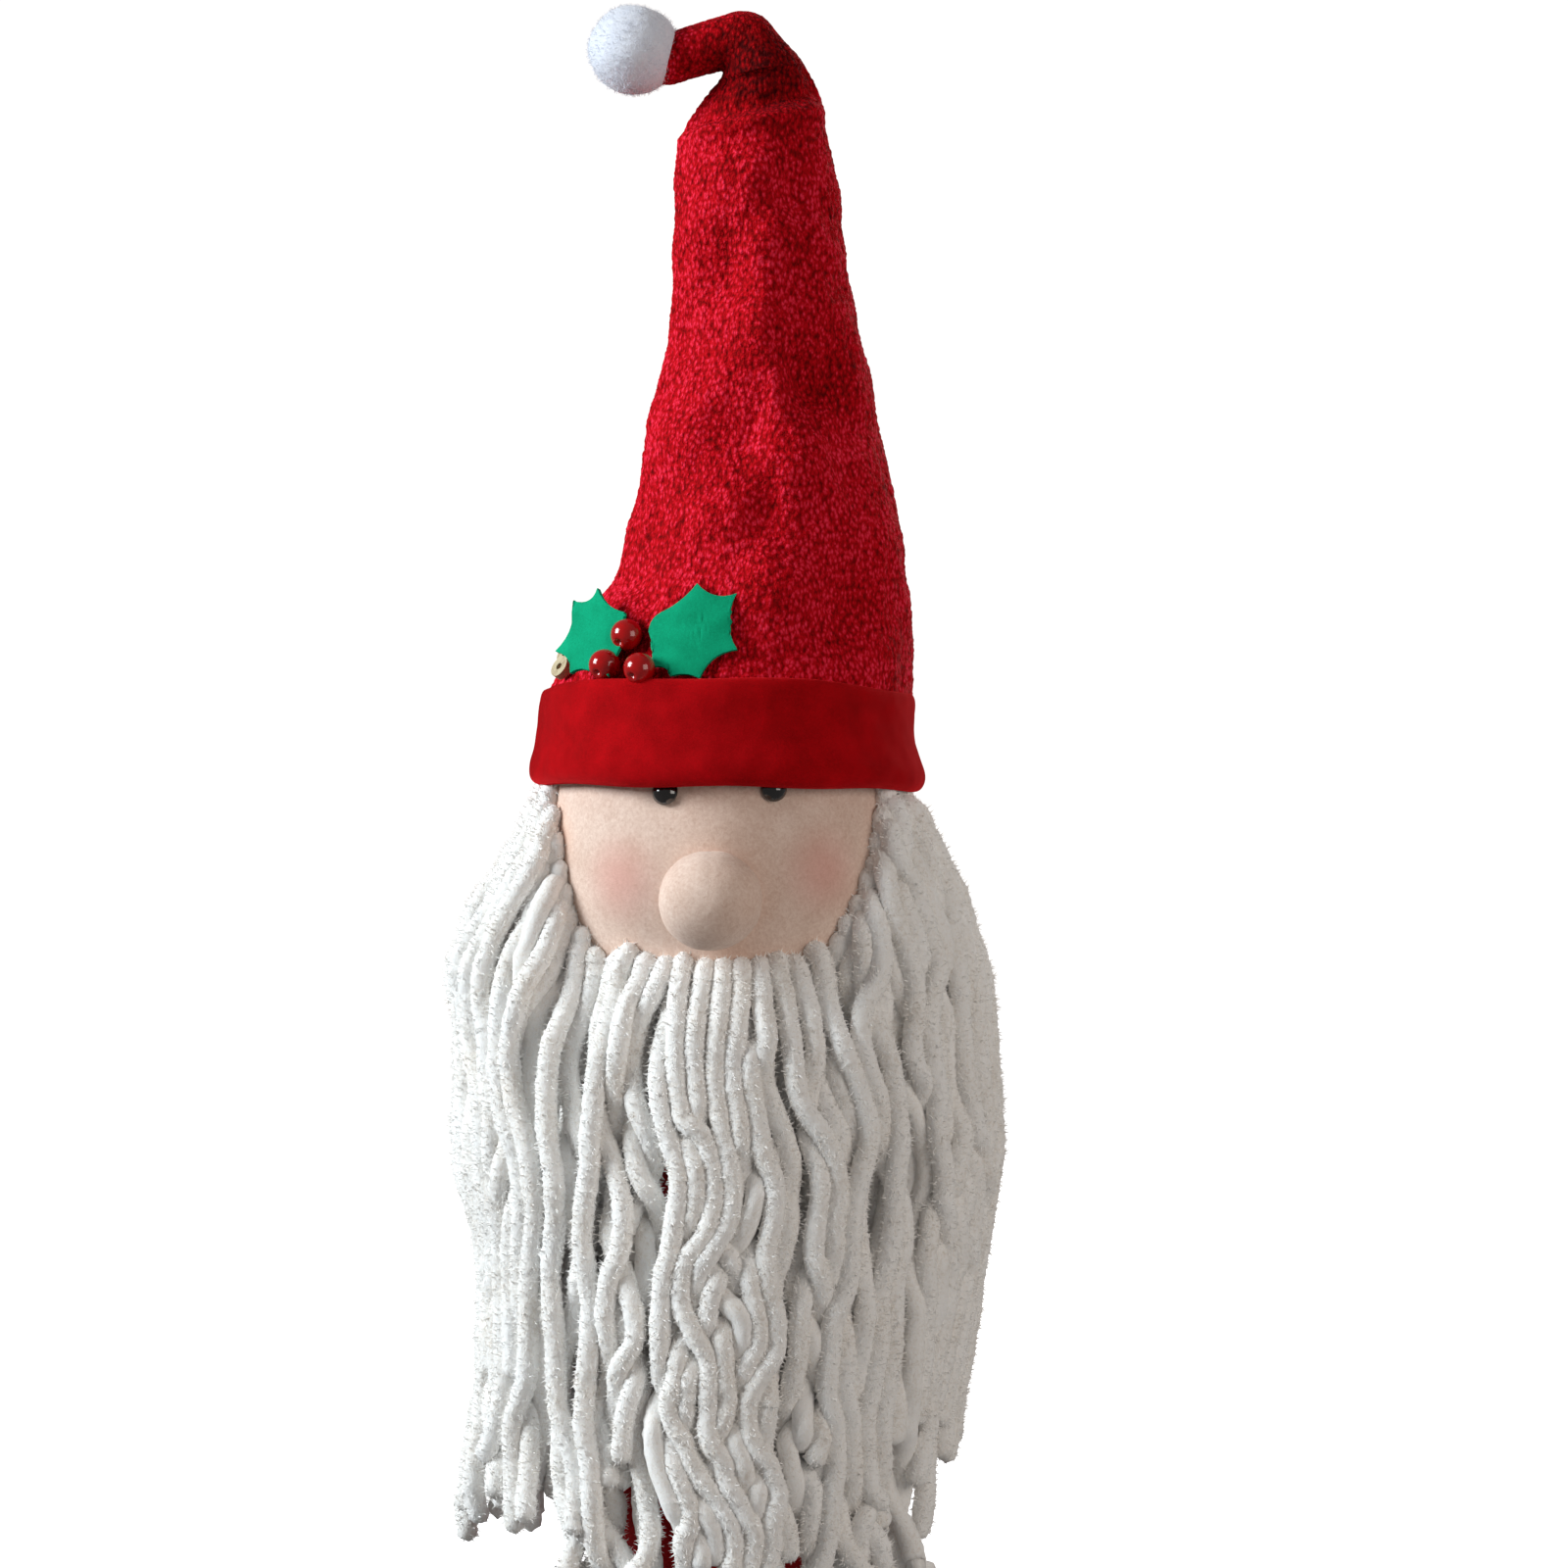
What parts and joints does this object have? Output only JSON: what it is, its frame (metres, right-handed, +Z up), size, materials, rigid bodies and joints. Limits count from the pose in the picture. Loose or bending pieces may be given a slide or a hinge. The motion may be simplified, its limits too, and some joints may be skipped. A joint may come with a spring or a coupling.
{
  "type": "tomte gnome figurine",
  "caption": "Standing stuffed gnome with a tall folded hat, a round nose, half-hidden eyes, holly trim and a long free-hanging yarn beard over a weighted base.",
  "frame": {"origin": "centre of the flat base on the surface that the figure stands on", "axes": "+Z up, the face looks along -Y, +X is the viewer's right"},
  "size_m": [0.169, 0.1338, 0.4825],
  "materials": {
    "red_fleece": "matte",
    "base_card": "matte",
    "bag_cotton": "matte",
    "sand": "matte",
    "stuffing": "matte",
    "skin_fleece": "matte",
    "eye_black": "gloss",
    "washer_plastic": "matte",
    "red_boucle": "matte",
    "steel_wire": "satin",
    "white_wool": "matte",
    "red_felt": "matte",
    "white_yarn": "matte",
    "backing_felt": "matte",
    "berry_red": "gloss",
    "toggle_wood": "satin",
    "green_felt": "matte"
  },
  "bodies": {
    "root": {"body_sack": "red_fleece", "base_panel": "red_fleece", "base_card": "base_card", "weight_bag": "bag_cotton", "weight_sand": "sand", "body_filling": "stuffing", "head_skin": "skin_fleece", "head_filling": "stuffing", "eye_left": "eye_black", "eye_right": "eye_black", "eye_washer_left": "washer_plastic", "eye_washer_right": "washer_plastic", "nose_skin": "skin_fleece", "nose_filling": "stuffing", "hat_cloth": "red_boucle", "hat_filling": "stuffing", "hat_wire": "steel_wire", "hat_cuff": "red_felt", "beard_cheek_left": "white_yarn", "beard_cheek_right": "white_yarn", "beard_loops": "white_yarn", "beard_backing": "backing_felt", "berry_top": "berry_red", "berry_left": "berry_red", "berry_right": "berry_red", "wood_toggle": "toggle_wood", "holly_leaf_left": "green_felt", "holly_leaf_right": "green_felt"},
    "beard_centre": {"beard_centre": "white_yarn"},
    "beard_front_left": {"beard_front_left": "white_yarn"},
    "beard_front_right": {"beard_front_right": "white_yarn"},
    "beard_side_left": {"beard_side_left": "white_yarn"},
    "beard_side_right": {"beard_side_right": "white_yarn"},
    "hat_crown": {"crown_cloth": "red_boucle", "crown_filling": "stuffing", "crown_wire": "steel_wire"},
    "hat_tip": {"tip_cloth": "red_boucle", "tip_filling": "stuffing", "tip_wire": "steel_wire", "pompom": "white_wool"}
  },
  "joints": [
    {"name": "beard_centre_swing", "type": "hinge", "parent": "root", "child": "beard_centre", "pos_m": [0, -0.0495, 0.1747], "axis": [-1, 0, 0], "range_deg": [0, 40]},
    {"name": "beard_front_left_swing", "type": "hinge", "parent": "root", "child": "beard_front_left", "pos_m": [-0.03013, -0.03927, 0.1747], "axis": [-0.7934, 0.6088, 0], "range_deg": [0, 40]},
    {"name": "beard_front_right_swing", "type": "hinge", "parent": "root", "child": "beard_front_right", "pos_m": [0.03013, -0.03927, 0.1747], "axis": [-0.7934, -0.6088, 0], "range_deg": [0, 40]},
    {"name": "beard_side_left_swing", "type": "hinge", "parent": "root", "child": "beard_side_left", "pos_m": [-0.04781, -0.01281, 0.1747], "axis": [-0.2588, 0.9659, 0], "range_deg": [0, 25]},
    {"name": "beard_side_right_swing", "type": "hinge", "parent": "root", "child": "beard_side_right", "pos_m": [0.04781, -0.01281, 0.1747], "axis": [-0.2588, -0.9659, 0], "range_deg": [0, 25]},
    {"name": "hat_crown_fold", "type": "hinge", "parent": "root", "child": "hat_crown", "pos_m": [0.0294, 0, 0.452], "axis": [0, 1, 0], "range_deg": [-8, 20]},
    {"name": "hat_tip_fold", "type": "hinge", "parent": "hat_crown", "child": "hat_tip", "pos_m": [0.0129, 0, 0.4794], "axis": [0, 1, 0], "range_deg": [-12, 70]}
  ]
}
